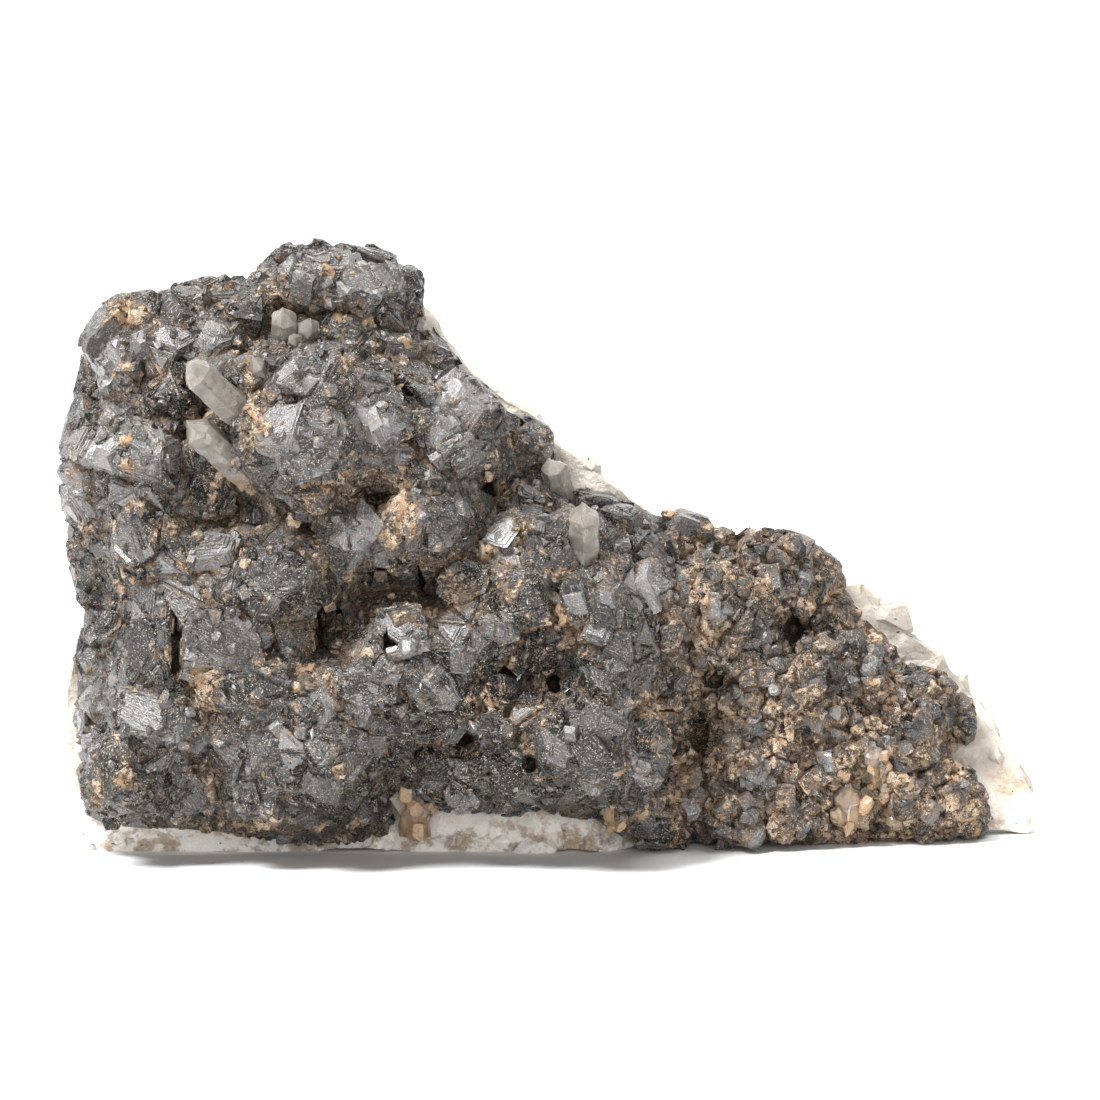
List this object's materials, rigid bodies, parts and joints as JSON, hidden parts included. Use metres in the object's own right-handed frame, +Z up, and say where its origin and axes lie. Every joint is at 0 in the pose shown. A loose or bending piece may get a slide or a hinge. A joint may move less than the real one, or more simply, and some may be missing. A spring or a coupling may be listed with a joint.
{
  "type": "sphalerite specimen",
  "caption": "Upright hand specimen of dark grey sphalerite crystals crusted over pale quartz matrix, with small cloudy quartz crystals; rests on its flat base.",
  "frame": {"origin": "on the flat base, below the middle of the specimen's box", "axes": "+X to the right seen from the crust's side, +Y from the crust towards the matrix's back, +Z up"},
  "size_m": [0.0994, 0.0426, 0.0606],
  "materials": {
    "sphalerite": "dark grey crystal faces with a dull submetallic gloss, ochre stain in the hollows and pale dust",
    "quartz_matrix": "rough broken milky quartz, cream to grey, with ochre stains",
    "cloudy_quartz": "cloudy, partly see-through quartz with a greasy gloss"
  },
  "bodies": {
    "root": {"matrix": "quartz_matrix", "sphalerite_crust": "sphalerite", "quartz_crystal_upper_left": "cloudy_quartz", "quartz_crystal_lower_left": "cloudy_quartz", "quartz_cluster_below_top": "cloudy_quartz", "quartz_crystal_below_top_right": "cloudy_quartz", "quartz_crystal_beside_dome": "cloudy_quartz", "quartz_crystal_right_edge_upper": "cloudy_quartz", "quartz_crystal_right_edge_lower": "cloudy_quartz", "quartz_crystal_bottom_tan": "cloudy_quartz", "quartz_crystal_bottom_brown": "cloudy_quartz", "quartz_crystal_right_lobe_upper": "cloudy_quartz", "quartz_crystal_right_lobe_right": "cloudy_quartz", "quartz_crystal_right_lobe_lower": "cloudy_quartz"}
  },
  "joints": []
}
